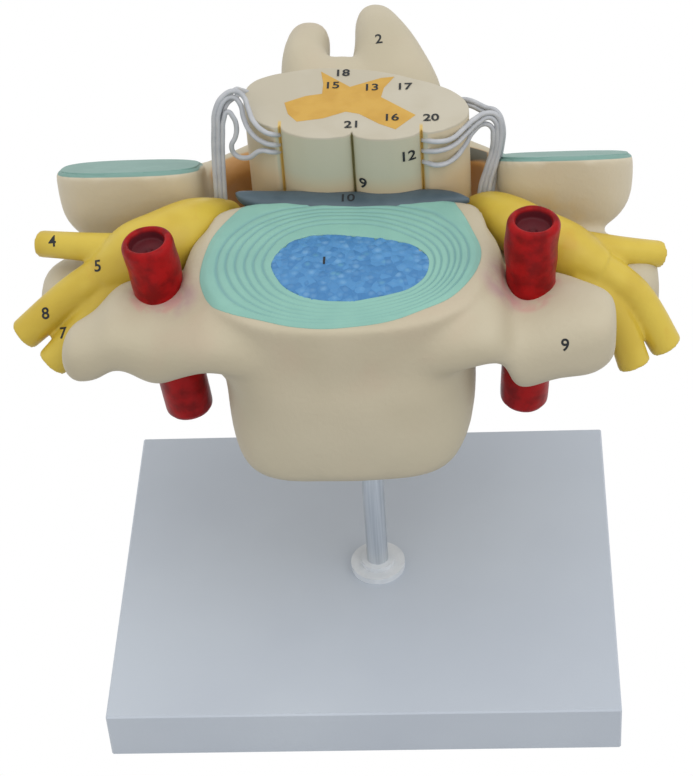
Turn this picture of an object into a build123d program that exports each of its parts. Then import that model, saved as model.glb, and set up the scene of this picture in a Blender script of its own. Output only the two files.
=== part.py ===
from build123d import *
import math
import os

os.makedirs("parts", exist_ok=True)

# Enlarged neck vertebra on a rod and board, with its disc, spinal cord, nerves and arteries.
# Millimetres. The origin is the middle of the board's underside, and +Y points to the spinous process.

# Stand
base_width = 250.0
base_depth = 200.0
base_thickness = 28.0
base_edge = 0.8
rod_diameter = 10.8
rod_x = 5.9
rod_insert = 48.0
rod_foot = 20.0
collar_diameter = 27.6
collar_thickness = 3.4
collar_hub_diameter = 17.0
collar_hub_height = 2.4

# Vertebral body
stand_gap = 99.0
body_height = 90.0
body_x = -1.0
body_y = 10.0
body_foot_width = 107.0
body_waist_width = 114.0
body_top_width = 134.0
body_front = 48.0
body_back = 51.0
body_lip = 7.0

# Disc
disc_x = -3.5
disc_width = 131.0
disc_front = 45.5
disc_back = 46.5
disc_thickness = 5.0
disc_proud = 1.0
ring_count = 6
ring_width = 0.9
ring_depth = 0.8
nucleus_x = 1.5
nucleus_y = 8.0
nucleus_width = 73.0
nucleus_depth = 48.0
nucleus_turn = -7.0
nucleus_seat = 3.5
nucleus_dome = 1.6

# Canal, cord and ligament
canal_width = 140.0
canal_depth = 70.0
canal_y = 96.0
cord_x = 3.0
cord_y = 94.5
cord_width = 109.0
cord_depth = 56.0
cord_rise = 33.0
cord_drop = 68.0
cord_lobe_width = 34.6
cord_lobe_front = 33.0
grey_thickness = 2.0
ligament_width = 114.0
ligament_depth = 17.0
ligament_y = 61.5
ligament_height = 9.0

# Processes of the vertebra
back_bar_drop = 47.0
back_bar_height = 40.0
left_knob_x = 153.0
right_knob_x = 148.0
left_pillar_x = 110.0
left_pillar_width = 76.0
right_pillar_x = 104.0
right_pillar_width = 72.0
pillar_y = 93.0
pillar_depth = 48.0
pillar_drop = 66.0
left_facet_tilt = 29.0
right_facet_tilt = 33.0
cartilage_width = 64.0
cartilage_depth = 41.0
cartilage_thickness = 2.0
cartilage_proud = 0.5
lamina_thickness = 24.0
lamina_height = 46.0
spinous_drop = 12.0
spinous_fork = 187.0
spinous_left_reach = 227.0
spinous_right_reach = 241.0

# Vertebral arteries, each leaning a little outwards
artery_diameter = 23.4
artery_y = 10.0
artery_foot_x = 81.5
artery_foot_drop = 84.0
artery_left_x = 92.0
artery_left_rise = 17.0
artery_right_x = 87.0
artery_right_rise = 24.0
artery_wall = 3.4
artery_recess = 7.0

# Spinal nerves and the strands that join them to the cord
nerve_root_diameter = 24.0
ganglion_diameter = 33.0
branch_diameter = 16.0
dorsal_branch_diameter = 12.0
rootlet_diameter = 2.2

body_foot_z = base_thickness + stand_gap
body_top_z = body_foot_z + body_height
disc_top_z = body_top_z + disc_proud
cord_top_z = disc_top_z + cord_rise


def oval(plane, half_a, half_b, power=2.3, half_back=None, power_back=None, sides=16):
    """Corners of an oval section, squarer with a higher power, and with a back of its own if given."""
    corners = []
    for step in range(sides):
        turn = 2 * math.pi * (step + 0.5) / sides
        c, s = math.cos(turn), math.sin(turn)
        behind = s > 0 and half_back is not None
        reach = half_back if behind else half_b
        bend = power_back if behind and power_back else power
        a = half_a * math.copysign(abs(c) ** (2 / bend), c)
        b = reach * math.copysign(abs(s) ** (2 / bend), s)
        corners.append(plane.from_local_coords(Vector(a, b, 0)))
    return corners


def level(x, y, z, turn=0.0):
    """Section plane that faces up, its first axis along X."""
    axis = (math.cos(math.radians(turn)), math.sin(math.radians(turn)), 0)
    return Plane(origin=(x, y, z), x_dir=axis, z_dir=(0, 0, 1))


def across_x(x, y, z):
    """Section plane that faces along X, its first axis along Y."""
    return Plane(origin=(x, y, z), x_dir=(0, 1, 0), z_dir=(1, 0, 0))


def across_y(x, y, z):
    """Section plane that faces along -Y, its first axis along X."""
    return Plane(origin=(x, y, z), x_dir=(1, 0, 0), z_dir=(0, -1, 0))


def rounded_rows(rings, steps):
    """Rings, with smooth in-between ones added so that the form curves along its length."""
    last = len(rings) - 1
    rows = []
    for index in range(last):
        before = rings[max(index - 1, 0)]
        after = rings[min(index + 2, last)]
        for step in range(steps):
            t = step / steps
            row = []
            for p, q, r, s in zip(before, rings[index], rings[index + 1], after):
                leave = (r - p) * 0.5
                arrive = (s - q) * 0.5
                spot = q * (2 * t**3 - 3 * t**2 + 1) + r * (3 * t**2 - 2 * t**3)
                row.append(spot + leave * (t**3 - 2 * t**2 + t) + arrive * (t**3 - t**2))
            rows.append(row)
    rows.append(rings[-1])
    return rows


def carved(rings, steps=2):
    """Solid with flat facets through rings of corners, closed by the first ring and the last."""
    rows = rounded_rows(rings, steps)
    count = len(rows[0])
    faces = [Face(Wire.make_polygon(rows[0], close=True)), Face(Wire.make_polygon(rows[-1], close=True))]
    for low, high in zip(rows, rows[1:]):
        for index in range(count):
            a, b = low[index], low[(index + 1) % count]
            c, d = high[(index + 1) % count], high[index]
            short = (a - c).length < (b - d).length
            pair = ((a, b, c), (a, c, d)) if short else ((a, b, d), (b, c, d))
            faces += [Face(Wire.make_polygon(corners, close=True)) for corners in pair]
    return Solid(Shell(faces))


def round_branch(spots, radii, sides=11):
    """Branch of round section through a few points, with its own radius at each."""
    rings = []
    across = Vector(0, 0, 1)
    for index, spot in enumerate(spots):
        before = Vector(*spots[max(index - 1, 0)])
        after = Vector(*spots[min(index + 1, len(spots) - 1)])
        along = (after - before).normalized()
        across = (across - along * across.dot(along)).normalized()
        plane = Plane(origin=spot, z_dir=along, x_dir=across)
        rings.append(oval(plane, radii[index], radii[index], 2, sides=sides))
    return carved(rings)


def block(low, high):
    """Upright block between two like outlines."""
    return carved([low, high], 1)


def upright(x, y, z, radius, height):
    """Plain cylinder standing on its lower end."""
    return Pos(x, y, z) * Cylinder(radius, height, align=(Align.CENTER, Align.CENTER, Align.MIN))


# Stand

def base_board():
    board = Box(base_width, base_depth, base_thickness, align=(Align.CENTER, Align.CENTER, Align.MIN))
    board = chamfer(board.edges(), base_edge)
    return board - upright(rod_x, 0, base_thickness - rod_foot, rod_diameter / 2, rod_foot)


def rod_collar():
    flange = upright(rod_x, 0, base_thickness, collar_diameter / 2, collar_thickness)
    hub_z = base_thickness + collar_thickness
    hub = upright(rod_x, 0, hub_z, collar_hub_diameter / 2, collar_hub_height)
    bore = upright(rod_x, 0, base_thickness, rod_diameter / 2, collar_thickness + collar_hub_height)
    return flange + hub - bore


def support_rod():
    """Plain rod from its socket in the board up into the body."""
    foot_z = base_thickness - rod_foot
    return upright(rod_x, 0, foot_z, rod_diameter / 2, rod_foot + stand_gap + rod_insert)


# Vertebra: one casting

def vertebral_body():
    low, top = body_foot_z, body_top_z
    foot, waist, crown = body_foot_width / 2, body_waist_width / 2, body_top_width / 2
    front, back = body_front, body_back
    levels = [
        (low, foot - 8, front - 1, back - 16, 4.0, 2.8),
        (low + 3, foot - 1, front + body_lip - 1, back - 12, 4.2, 2.8),
        (low + 15, waist, front + body_lip, back - 8, 3.6, 2.8),
        (low + 32, waist + 1, front + 4, back - 5, 3.0, 3.2),
        (low + 52, waist, front, back - 4, 2.6, 4.0),
        (top - 16, crown - 6, front, back, 2.4, 6.0),
        (top, crown, front, back, 2.4, 7.0),
    ]
    rings = []
    for z, half, ahead, behind, power, power_back in levels:
        rings.append(oval(level(body_x, body_y, z), half, ahead, power, behind, power_back, 24))
    return carved(rings)


def front_bar(side):
    """Front bar of the transverse process, from the body past the artery to the anterior tubercle."""
    left = [
        (20, -2, -25, 28, 16),
        (42, -3, -23, 32, 17),
        (63, -3, -19, 33, 15),
        (76, 0, -24, 32, 16),
        (92, 4, -31, 30, 19),
        (108, 0, -25, 24, 15),
        (120, -6, -31, 17, 14),
        (130, -9, -33, 13, 12),
        (135, -10, -33, 7, 6),
    ]
    right = [
        (20, -2, -25, 28, 16),
        (42, -3, -23, 32, 17),
        (63, -3, -18, 33, 14),
        (71, -1, -21, 32, 15),
        (79, 3, -36, 31, 21),
        (97, 1, -31, 28, 20),
        (112, -6, -28, 21, 19),
        (121, -8, -26, 15, 15),
        (124, -8, -26, 8, 10),
    ]
    rings = []
    for x, y, up, deep, tall in left if side < 0 else right:
        rings.append(oval(across_x(side * x, y, body_top_z + up), deep, tall, 2.6))
    return carved(rings)


def back_bar(side, end_x):
    """Back bar with the posterior tubercle, and the bridge behind the artery."""
    z = body_top_z - back_bar_drop
    half = back_bar_height / 2
    spots = [
        (40, 46, z + 7, 16, half - 5),
        (70, 56, z + 6, 22, half - 1),
        (100, 54, z + 1, 32, half),
        (end_x - 22, 50, z, 25, half),
        (end_x - 6, 48, z, 19, half - 4),
        (end_x, 48, z, 12, half - 10),
    ]
    return carved([oval(across_x(side * x, y, at), a, b, 2.5) for x, y, at, a, b in spots])


def facet_plane(side):
    """Plane of the upper joint facet, which leans back."""
    x, tilt = (-left_pillar_x, left_facet_tilt) if side < 0 else (right_pillar_x, right_facet_tilt)
    lean = math.radians(tilt)
    normal = (0, math.sin(lean), math.cos(lean))
    return Plane(origin=(x, pillar_y, body_top_z), x_dir=(1, 0, 0), z_dir=normal)


def articular_pillar(side):
    """Column between the joint facets, cut off along the upper one."""
    x, width = (left_pillar_x, left_pillar_width) if side < 0 else (right_pillar_x, right_pillar_width)
    half, deep = width / 2, pillar_depth / 2
    y, top = pillar_y, body_top_z
    levels = [
        (top - pillar_drop, x - 7, y + 4, half - 13, deep - 8),
        (top - 46, x - 9, y + 2, half - 11, deep - 2),
        (top - 28, x - 5, y, half - 6, deep),
        (top - 12, x - 1, y, half - 1, deep + 1),
        (top + 18, x, y, half, deep + 1),
    ]
    pillar = carved([oval(level(side * at, back, z), a, b, 2.8) for z, at, back, a, b in levels])
    above = extrude(facet_plane(side) * Rectangle(2 * width, 3 * pillar_depth), 60)
    return pillar - above


def laminae():
    """Arch from one pillar round the back of the canal to the other, tallest at the middle."""
    back = canal_y + canal_depth / 2 + lamina_thickness / 2 + 3
    half = canal_width / 2
    tall, thick = lamina_height / 2, lamina_thickness / 2
    bend = [
        (half + 28, canal_y + 2, -34, tall + 4, thick - 1),
        (half + 8, canal_y + 13, -39, tall + 3, thick),
        (half - 8, canal_y + 30, -43, tall + 1, thick),
        (half / 2 - 4, back - 4, -38, tall + 2, thick),
    ]
    spots = [(-x, *rest) for x, *rest in bend] + [(0, back, -32, tall + 4, thick + 1)] + bend[::-1]
    rings = []
    for index, (x, y, up, a, b) in enumerate(spots):
        before = spots[max(index - 1, 0)]
        after = spots[min(index + 1, len(spots) - 1)]
        along = (after[0] - before[0], after[1] - before[1], 0)
        plane = Plane(origin=(x, y, body_top_z + up), z_dir=along, x_dir=(0, 0, 1))
        rings.append(oval(plane, a, b, 2.4, sides=12))
    return carved(rings)


def spinous_lobe(sections, reach):
    """One lobe of the forked process, from sections of x, share of the reach, height, and half sizes."""
    root = canal_y + canal_depth / 2 + 9
    rings = []
    for x, share, up, half, tall in sections:
        plane = across_y(x, root + (reach - root) * share, body_top_z - spinous_drop + up)
        rings.append(oval(plane, half, tall, 2.5))
    return carved(rings)


def spinous_process():
    left = [
        (-10, 0, -20, 27, 19),
        (-19, 0.3, -9, 20, 23),
        (-27.5, 0.6, -1, 13, 18),
        (-26.5, 0.88, 0, 11, 12.5),
        (-26.5, 1, 0, 5.5, 6),
    ]
    right = [
        (13, 0, -20, 30, 19),
        (18, 0.3, -9, 27, 23),
        (15.5, 0.6, -1, 18, 18.5),
        (9.5, 0.88, 0, 11.5, 14),
        (8, 1, 0, 6, 7),
    ]
    web = [(-4, 0, -20, 26, 19), (-6, 0.55, -10, 19, 23), (-8, 0.9, -5, 14, 19), (-8, 1, -4, 8, 12)]
    lobes = spinous_lobe(left, spinous_left_reach) + spinous_lobe(right, spinous_right_reach)
    return lobes + spinous_lobe(web, spinous_fork)


def canal():
    low = oval(level(0, canal_y, body_foot_z - 10), canal_width / 2, canal_depth / 2, 2.5, sides=20)
    high = oval(level(0, canal_y, body_top_z + 60), canal_width / 2, canal_depth / 2, 2.5, sides=20)
    return block(low, high)


def vertebra(seated):
    """The casting, less the canal, the rod's socket and the seats of what is set into it."""
    bone = vertebral_body()
    bone += front_bar(-1)
    bone += front_bar(1)
    bone += back_bar(-1, left_knob_x)
    bone += back_bar(1, right_knob_x)
    bone += articular_pillar(-1)
    bone += articular_pillar(1)
    bone += laminae()
    bone += spinous_process()
    bone -= canal()
    bone -= upright(rod_x, 0, body_foot_z - 5, rod_diameter / 2, rod_insert + 5)
    for piece in seated:
        bone -= piece
    return bone


def facet_cartilage(side):
    """Thin pad let into the upper joint facet, a little proud of it."""
    top = facet_plane(side).offset(cartilage_proud)
    half, deep = cartilage_width / 2, cartilage_depth / 2
    low = oval(top.offset(-cartilage_thickness), half, deep, 2.8, sides=20)
    high = oval(top, half, deep, 2.8, sides=20)
    return block(low, high)


# Disc

def disc_line(share, z, grow=0.0):
    """Outline between the disc's edge, share 0, and the nucleus, share 1."""
    def blend(first, last):
        return first + (last - first) * share
    plane = level(blend(disc_x, nucleus_x), blend(body_y, nucleus_y), z, blend(0, nucleus_turn))
    half = blend(disc_width, nucleus_width) / 2 + grow
    front = blend(disc_front, nucleus_depth / 2) + grow
    back = blend(disc_back, nucleus_depth / 2) + grow
    return oval(plane, half, front, 2.25, back, blend(3.2, 2.3), 32)


def disc_blank():
    return block(disc_line(0, disc_top_z - disc_thickness), disc_line(0, disc_top_z))


def annulus():
    """Outer disc with a groove between each layer and the next."""
    rings = disc_blank()
    low = disc_top_z - ring_depth
    for ring in range(ring_count):
        share = (ring + 1.2) / (ring_count + 0.9)
        outer, inner = [
            block(disc_line(share, low, grow), disc_line(share, disc_top_z + 1, grow))
            for grow in (ring_width / 2, -ring_width / 2)
        ]
        rings -= outer - inner
    return rings - block(disc_line(1, disc_top_z - nucleus_seat), disc_line(1, disc_top_z + 1))


def nucleus():
    """Soft core, domed a little above the rings."""
    foot = disc_line(1, disc_top_z - nucleus_seat)
    rim = disc_line(1, disc_top_z)
    core = block(foot, rim)
    shoulder = disc_line(1, disc_top_z + nucleus_dome * 0.7, -2)
    crown = disc_line(1, disc_top_z + nucleus_dome, -7)
    return core + carved([rim, shoulder, crown], 1)


# Cord

def cord_blank():
    """Flattened column with a pair of bulging lobes in front."""
    foot_z = disc_top_z - cord_drop
    half_lobe = cord_lobe_width / 2
    rounds = [
        (cord_x, cord_width / 2, cord_depth / 2, 2.3),
        (cord_x - half_lobe, half_lobe, cord_lobe_front, 6),
        (cord_x + half_lobe, half_lobe, cord_lobe_front, 6),
    ]
    cord = None
    for x, half, deep, power in rounds:
        low = oval(level(x, cord_y, foot_z), half, deep, power, sides=28)
        high = oval(level(x, cord_y, cord_top_z), half, deep, power, sides=28)
        cord = block(low, high) if cord is None else cord + block(low, high)
    return cord


def grey_matter():
    """Butterfly of grey matter, let into the cut face of the cord."""
    plane = level(cord_x - 2, cord_y, cord_top_z - grey_thickness)
    back = [(-13, 24.5), (0, 11.5), (21, 17.5), (15, 5.5)]
    front = [(32, -14.5), (21, -25.5), (0, -9.5), (-27, -16.5), (-32, -1.5), (-14, 5.5)]
    corners = [plane.from_local_coords(Vector(x, y, 0)) for x, y in back + front]
    face = Face(Wire.make_polygon(corners, close=True))
    return extrude(face, grey_thickness, dir=(0, 0, 1))


def ligament_blank():
    """Strip between the body and the cord, drawn out to a point at each end."""
    half, deep = ligament_width / 2, ligament_depth / 2
    low = oval(level(0, ligament_y, disc_top_z - ligament_height), half, deep, 1.6, sides=20)
    high = oval(level(0, ligament_y, disc_top_z), half, deep, 1.6, sides=20)
    return block(low, high)


# Nerves and arteries

def spinal_nerve(side, dorsal_end, main_end, inner_end):
    """Root and ganglion, then one branch to the back and two to the front."""
    z = body_top_z
    root, swell = nerve_root_diameter / 2, ganglion_diameter / 2
    main, dorsal = branch_diameter / 2, dorsal_branch_diameter / 2
    trunk = [(60, 78, -16), (67, 67, -12), (76, 55, -9), (88, 43, -9), (104, 37, -13), (119, 33, -21)]
    radii = [root - 4, root - 1, root + 2, swell, swell, swell - 6]
    body = round_branch([(side * x, y, z + up) for x, y, up in trunk], radii)
    branches = [
        ([(104, 40, -12), (130, 47, dorsal_end[2] * 0.7), dorsal_end], [9, dorsal, dorsal]),
        ([(110, 35, -17), (135, 31, main_end[2] * 0.6), main_end], [11, main + 1, main]),
        ([(106, 31, -20), (125, 22, inner_end[2] * 0.72), inner_end], [10, main, main]),
    ]
    for spots, radii in branches:
        body += round_branch([(side * x, y, z + up) for x, y, up in spots], radii)
    return body


def rootlet(spots):
    """Thin strand from the cord up over its edge and down into the nerve root."""
    radii = [rootlet_diameter / 2] * len(spots)
    return round_branch([(x, y, cord_top_z + up) for x, y, up in spots], radii, 6)


def artery_axis(side):
    foot = Vector(side * artery_foot_x, artery_y, body_top_z - artery_foot_drop)
    if side < 0:
        return foot, Vector(-artery_left_x, artery_y, body_top_z + artery_left_rise)
    return foot, Vector(artery_right_x, artery_y, body_top_z + artery_right_rise)


def artery_blank(side):
    foot, top = artery_axis(side)
    axis = Plane(origin=foot, z_dir=top - foot, x_dir=(0, 1, 0))
    align = (Align.CENTER, Align.CENTER, Align.MIN)
    return axis * Cylinder(artery_diameter / 2, (top - foot).length, align=align)


def vertebral_artery(side):
    """Round vessel with a shallow open end at the top."""
    foot, top = artery_axis(side)
    axis = Plane(origin=top, z_dir=foot - top, x_dir=(0, 1, 0))
    align = (Align.CENTER, Align.CENTER, Align.MIN)
    bore = axis * Cylinder(artery_diameter / 2 - artery_wall, artery_recess, align=align)
    return artery_blank(side) - bore


# Strands, each from its own place on the cord. Heights are above the cord's cut face.
rootlets = {
    "front_rootlet_left_1": [
        (-32, 74, -1), (-38, 71.5, -2), (-43.5, 74.5, 3), (-47, 80, 9), (-52, 84.5, 12), (-58.5, 85.5, 10),
        (-64.2, 82.5, 2), (-66, 80.3, -12), (-66, 78.3, -31), (-66.4, 75, -44)],
    "front_rootlet_left_2": [
        (-32, 74, -7), (-38, 71.5, -8), (-44, 74.5, -6), (-48, 79, 1), (-51.5, 83.5, 7.5), (-57, 84.5, 7),
        (-61.8, 82.5, 0), (-63.5, 81, -12), (-63.4, 78.8, -31), (-64, 76, -44)],
    "front_rootlet_left_3": [
        (-32, 74, -13.5), (-38, 71.5, -14), (-44, 74, -14.5), (-49.5, 76.5, -19.5), (-55, 79, -18),
        (-55.2, 80.5, -10), (-53.5, 82.5, -2), (-56.3, 84, 2.8), (-59.7, 82.6, -4), (-60.9, 81.5, -12),
        (-60.9, 79.3, -31), (-61.6, 76.8, -44)],
    "back_rootlet_left": [
        (-37, 111, -9), (-41, 117, -6), (-50, 114.5, -1.5), (-57, 103, 4), (-59, 94, 6.5), (-59.5, 88, 1.5),
        (-58.5, 84.7, -8), (-58.3, 82.2, -18), (-58.3, 80.2, -31), (-59.2, 78.8, -44)],
    "front_rootlet_right_1": [
        (35, 74, -6), (40.5, 71, -9), (49, 74, -9.5), (58, 79.5, -8), (67, 83.5, -5), (73, 84, -9),
        (73.2, 82.2, -16.5), (69, 80, -25), (67.8, 78.2, -35), (66.2, 75, -44)],
    "front_rootlet_right_2": [
        (35, 74, -12.5), (41, 71, -14.5), (49, 74, -14.7), (58, 79, -11.5), (66, 83, -8.7), (70.2, 82.8, -12),
        (70.5, 81.4, -17.5), (66.5, 80.2, -25.5), (65.3, 78.6, -35), (63.8, 76, -44)],
    "front_rootlet_right_3": [
        (35, 74, -19), (41, 71, -22), (48.5, 73.7, -21.5), (56, 78.3, -17.5), (62.5, 82, -13.2),
        (66.6, 82.8, -15), (67, 81.8, -20), (64.1, 80.9, -26), (62.9, 79.5, -35), (61.4, 77, -44)],
    "back_rootlet_right": [
        (39, 111, -11), (44, 117, -9), (54, 114.5, -8), (64.5, 104, -8), (71.5, 94, -6.5), (75, 88, -9.5),
        (73.6, 85.8, -16.5), (68, 83.2, -24.5), (65.4, 81.8, -34), (63, 79.6, -44)],
}

disc_seat = disc_blank()
left_nerve = spinal_nerve(-1, (152, 56, -18), (161, 25, -50), (147, 14, -59))
right_nerve = spinal_nerve(1, (149, 54, -33), (151, 24, -66), (135, 13, -68))
cord = cord_blank() - left_nerve - right_nerve
ligament = ligament_blank() - cord_blank() - disc_seat - left_nerve - right_nerve
cartilages = [facet_cartilage(-1), facet_cartilage(1)]
seated = [ligament, disc_seat, left_nerve, right_nerve, artery_blank(-1), artery_blank(1)] + cartilages

parts = {
    "base_board": base_board(),
    "rod_collar": rod_collar(),
    "support_rod": support_rod(),
    "vertebra": vertebra(seated),
    "disc_annulus": annulus(),
    "disc_nucleus": nucleus(),
    "posterior_ligament": ligament,
    "spinal_cord": cord - grey_matter(),
    "grey_matter": grey_matter(),
    "facet_cartilage_left": cartilages[0],
    "facet_cartilage_right": cartilages[1],
    "spinal_nerve_left": left_nerve,
    "spinal_nerve_right": right_nerve,
    "vertebral_artery_left": vertebral_artery(-1),
    "vertebral_artery_right": vertebral_artery(1),
}
for name, spots in rootlets.items():
    nerve = left_nerve if "left" in name else right_nerve
    parts[name] = rootlet(spots) - cord - nerve

for name, shape in parts.items():
    export_step(shape, f"parts/{name}.step")
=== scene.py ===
import bpy
import math
from mathutils import Matrix, Vector, noise
from mathutils.bvhtree import BVHTree


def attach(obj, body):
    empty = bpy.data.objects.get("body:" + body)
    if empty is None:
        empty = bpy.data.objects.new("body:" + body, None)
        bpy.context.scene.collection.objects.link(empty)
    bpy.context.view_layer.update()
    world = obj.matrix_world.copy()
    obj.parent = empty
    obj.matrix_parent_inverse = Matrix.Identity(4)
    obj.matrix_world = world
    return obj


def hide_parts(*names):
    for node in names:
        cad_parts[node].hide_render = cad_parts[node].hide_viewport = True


# Enlarged neck vertebra on a rod and board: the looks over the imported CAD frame.
# Forms are written in millimetres like the part's source and made in metres.

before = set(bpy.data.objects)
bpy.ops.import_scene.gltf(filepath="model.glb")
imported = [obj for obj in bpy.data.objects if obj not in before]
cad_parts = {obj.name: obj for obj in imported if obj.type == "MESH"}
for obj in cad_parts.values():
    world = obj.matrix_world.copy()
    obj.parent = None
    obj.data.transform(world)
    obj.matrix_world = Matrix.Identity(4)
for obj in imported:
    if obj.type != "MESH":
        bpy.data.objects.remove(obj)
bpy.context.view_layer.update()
mm = 0.001
bodyTop = 217.0  # height of the upper face of the vertebral body
discTop = 218.0
cordTop = 251.0


# Small helpers

def selectOnly(*pieces):
    bpy.ops.object.select_all(action='DESELECT')
    for piece in pieces:
        piece.select_set(True)
    bpy.context.view_layer.objects.active = pieces[0]


def newPiece(name, data):
    piece = bpy.data.objects.new(name, data)
    bpy.context.scene.collection.objects.link(piece)
    return piece


def shadeSmooth(piece, angle=None):
    selectOnly(piece)
    if angle:
        bpy.ops.object.shade_smooth_by_angle(angle=math.radians(angle))
    else:
        bpy.ops.object.shade_smooth()
    return piece


def asMesh(piece):
    selectOnly(piece)
    bpy.ops.object.convert(target='MESH')
    return bpy.context.object


def applyModifier(piece, kind, **settings):
    selectOnly(piece)
    modifier = piece.modifiers.new(kind.lower(), kind)
    for key, value in settings.items():
        setattr(modifier, key, value)
    bpy.ops.object.modifier_apply(modifier=modifier.name)


def joinForms(name, forms):
    selectOnly(*forms)
    if len(forms) > 1:
        bpy.ops.object.join()
    forms[0].name = name
    return forms[0]


def cutAway(piece, cutter):
    applyModifier(piece, 'BOOLEAN', operation='DIFFERENCE', solver='EXACT', object=cutter)
    bpy.data.objects.remove(cutter, do_unlink=True)


def giveMaterial(piece, material):
    piece.data.materials.clear()
    piece.data.materials.append(material)


def placePiece(piece, material, nodes=()):
    giveMaterial(piece, material)
    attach(piece, "root")
    if nodes:
        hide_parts(*nodes)


# Ring forms: closed skins through oval sections

def ovalRing(centre, axisA, axisB, halfA, halfB, power=2.3, halfBack=None, powerBack=None, sides=48):
    ring = []
    for step in range(sides):
        turn = 2 * math.pi * (step + 0.5) / sides
        c, s = math.cos(turn), math.sin(turn)
        behind = s > 0 and halfBack is not None
        reach = halfBack if behind else halfB
        bend = powerBack if behind and powerBack else power
        a = halfA * math.copysign(abs(c) ** (2 / bend), c)
        b = reach * math.copysign(abs(s) ** (2 / bend), s)
        ring.append(Vector(centre) + Vector(axisA) * a + Vector(axisB) * b)
    return ring


def levelRing(x, y, z, a, b, power=2.3, back=None, powerBack=None):
    return ovalRing((x, y, z), (1, 0, 0), (0, 1, 0), a, b, power, back, powerBack)


def smoothLine(p, q, r, s, t):
    # a spot between q and r on the smooth line through all four
    spot = q * (2 * t**3 - 3 * t**2 + 1) + r * (3 * t**2 - 2 * t**3)
    return spot + (r - p) * 0.5 * (t**3 - 2 * t**2 + t) + (s - q) * 0.5 * (t**3 - t**2)


def wallFaces(count, pairs):
    faces = []
    for low, high in pairs:
        for n in range(count):
            m = (n + 1) % count
            faces.append((low * count + n, low * count + m, high * count + m, high * count + n))
    return faces


def meshForm(name, rows, faces):
    mesh = bpy.data.meshes.new(name)
    mesh.from_pydata([spot * mm for row in rows for spot in row], [], faces)
    form = newPiece(name, mesh)
    selectOnly(form)
    return form


def skinForm(name, rings, steps=5):
    rows = []
    last = len(rings) - 1
    for index in range(last):  # in-between rows bend smoothly from ring to ring
        four = rings[max(index - 1, 0)], rings[index], rings[index + 1], rings[min(index + 2, last)]
        for step in range(steps):
            rows.append([smoothLine(p, q, r, s, step / steps) for p, q, r, s in zip(*four)])
    rows.append(rings[-1])
    count = len(rings[0])
    caps = [list(range(count))[::-1], [(len(rows) - 1) * count + n for n in range(count)]]
    form = meshForm(name, rows, caps + wallFaces(count, [(row, row + 1) for row in range(len(rows) - 1)]))
    bpy.ops.object.mode_set(mode='EDIT')
    bpy.ops.mesh.select_all(action='SELECT')
    bpy.ops.mesh.normals_make_consistent(inside=False)
    bpy.ops.object.mode_set(mode='OBJECT')
    return form


def gridForm(name, rows):
    pairs = [(row, (row + 1) % len(rows)) for row in range(len(rows))]
    return shadeSmooth(meshForm(name, rows, wallFaces(len(rows[0]), pairs)))


def moulded(piece, voxel, smoothing):
    applyModifier(piece, 'REMESH', mode='VOXEL', voxel_size=voxel * mm, adaptivity=0.0)
    applyModifier(piece, 'SMOOTH', factor=0.5, iterations=smoothing)
    return shadeSmooth(piece)


def polarLine(corners, centre, sides, steps=14):
    # distance from the centre to a smooth closed line through the corners, at even angles
    whole = 2 * math.pi
    spokes = []
    for index in range(len(corners)):
        four = [Vector(corners[(index + k) % len(corners)]) for k in (-1, 0, 1, 2)]
        for step in range(steps):
            arm = smoothLine(*four, step / steps) - Vector(centre)
            spokes.append((math.atan2(arm.y, arm.x) % whole, arm.length))
    spokes.sort()
    (first, firstReach), (final, finalReach) = spokes[0], spokes[-1]
    spokes = [(final - whole, finalReach)] + spokes + [(first + whole, firstReach)]
    reach, at = [], 0
    for step in range(sides):
        turn = whole * step / sides
        while spokes[at + 1][0] < turn:
            at += 1
        (a, low), (b, high) = spokes[at], spokes[at + 1]
        reach.append(low + (high - low) * (turn - a) / max(b - a, 1e-9))
    return reach


def smoothStep(value, low, high):
    t = min(max((value - low) / (high - low), 0.0), 1.0)  # from 0 at low to 1 at high, either way round
    return t * t * (3 - 2 * t)


def roughen(piece, sizeMm, depthMm, seed=0.0):
    normals = [vert.normal.copy() for vert in piece.data.vertices]  # all read before any is moved
    for vert, normal in zip(piece.data.vertices, normals):
        swell = noise.noise(vert.co / (sizeMm * mm) + Vector((seed, seed, seed)))
        vert.co += normal * swell * depthMm * mm


# Materials

softly = {"interpolation_type": 'SMOOTHSTEP'}


def linearColour(code):
    values = [int(code[n:n + 2], 16) / 255 for n in (1, 3, 5)]
    return [v / 12.92 if v <= 0.04045 else ((v + 0.055) / 1.055) ** 2.4 for v in values] + [1.0]


def addNode(owner, kind, inputs, output=0, **settings):
    # inputs by name or number: another node's output is linked, a hex code turned linear, the rest are values
    tree = owner.node_tree
    node = tree.nodes.new("ShaderNode" + kind)
    for key, value in settings.items():
        setattr(node, key, value)
    for key, value in inputs.items():
        if isinstance(value, bpy.types.NodeSocket):
            tree.links.new(value, node.inputs[key])
        else:
            node.inputs[key].default_value = linearColour(value) if isinstance(value, str) else value
    return node.outputs[output]


def newMaterial(name, roughness, specular=0.5, metallic=0.0):
    material = bpy.data.materials.new(name)
    material.use_nodes = True
    shader = material.node_tree.nodes["Principled BSDF"]
    for key, value in (("Roughness", roughness), ("Specular IOR Level", specular), ("Metallic", metallic)):
        shader.inputs[key].default_value = value
    return material, addNode(material, "TexCoord", {}, "Object")


def finishMaterial(material, colour, height=None, depthMm=0.0):
    tree = material.node_tree
    shader = tree.nodes["Principled BSDF"]
    tree.links.new(colour, shader.inputs["Base Color"])
    if height is not None:
        bump = addNode(material, "Bump", {"Distance": depthMm * mm, "Height": height})
        tree.links.new(bump, shader.inputs["Normal"])
    return material


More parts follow.
